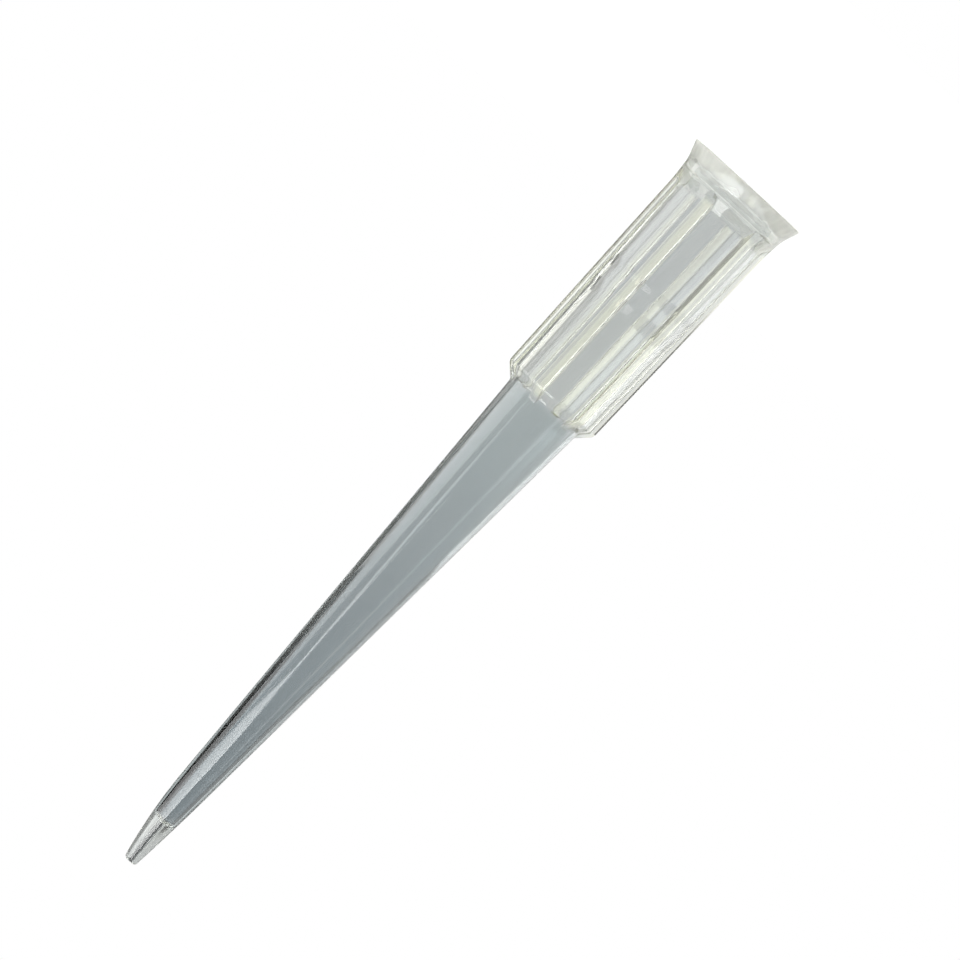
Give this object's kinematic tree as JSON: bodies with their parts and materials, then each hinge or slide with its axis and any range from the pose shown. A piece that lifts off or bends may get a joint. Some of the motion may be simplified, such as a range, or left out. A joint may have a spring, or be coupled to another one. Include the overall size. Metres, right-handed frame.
{
  "type": "pipette tip",
  "caption": "Slender conical pipette tip of clear natural polypropylene, with a ribbed collar, a flared rim and a rounded nose that ends in a fine orifice.",
  "frame": {"origin": "centre of the rim's face, which the tip stands on", "axes": "+Z runs along the tip's axis from the rim's face to the end of the nose; one rib lies along +X"},
  "size_m": [0.0078, 0.0078, 0.051],
  "materials": {
    "natural_polypropylene": "clear natural polypropylene, injection moulded, polished"
  },
  "bodies": {
    "root": {"pipette_tip": "natural_polypropylene"}
  },
  "joints": []
}
